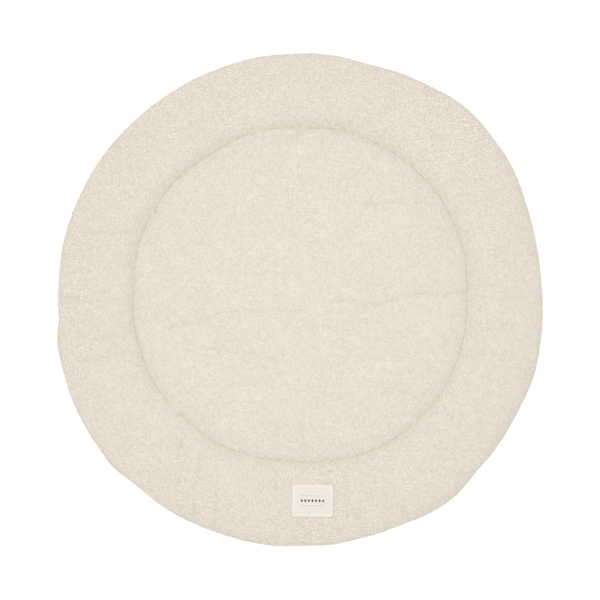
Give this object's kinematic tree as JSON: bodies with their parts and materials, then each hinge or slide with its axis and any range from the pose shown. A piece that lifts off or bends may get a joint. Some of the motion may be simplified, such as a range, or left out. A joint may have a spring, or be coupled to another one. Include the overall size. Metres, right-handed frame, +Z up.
{
  "type": "round padded playpen mat",
  "caption": "Round padded playpen mat of pale terry cloth, filled and sewn through along a ring, with a turned edge seam and a small sewn cloth label.",
  "frame": {"origin": "centre of the mat's bounding box, on the floor plane under it", "axes": "+Z up through the pad's thickness, +Y away from the label's side, +X to the right when the label is nearest"},
  "size_m": [0.9356, 0.9492, 0.0273],
  "materials": {
    "terry_cloth": "short looped pile, matt",
    "label_cotton": "fine plain weave, matt"
  },
  "bodies": {
    "root": {"mat": "terry_cloth", "label": "label_cotton"}
  },
  "joints": []
}
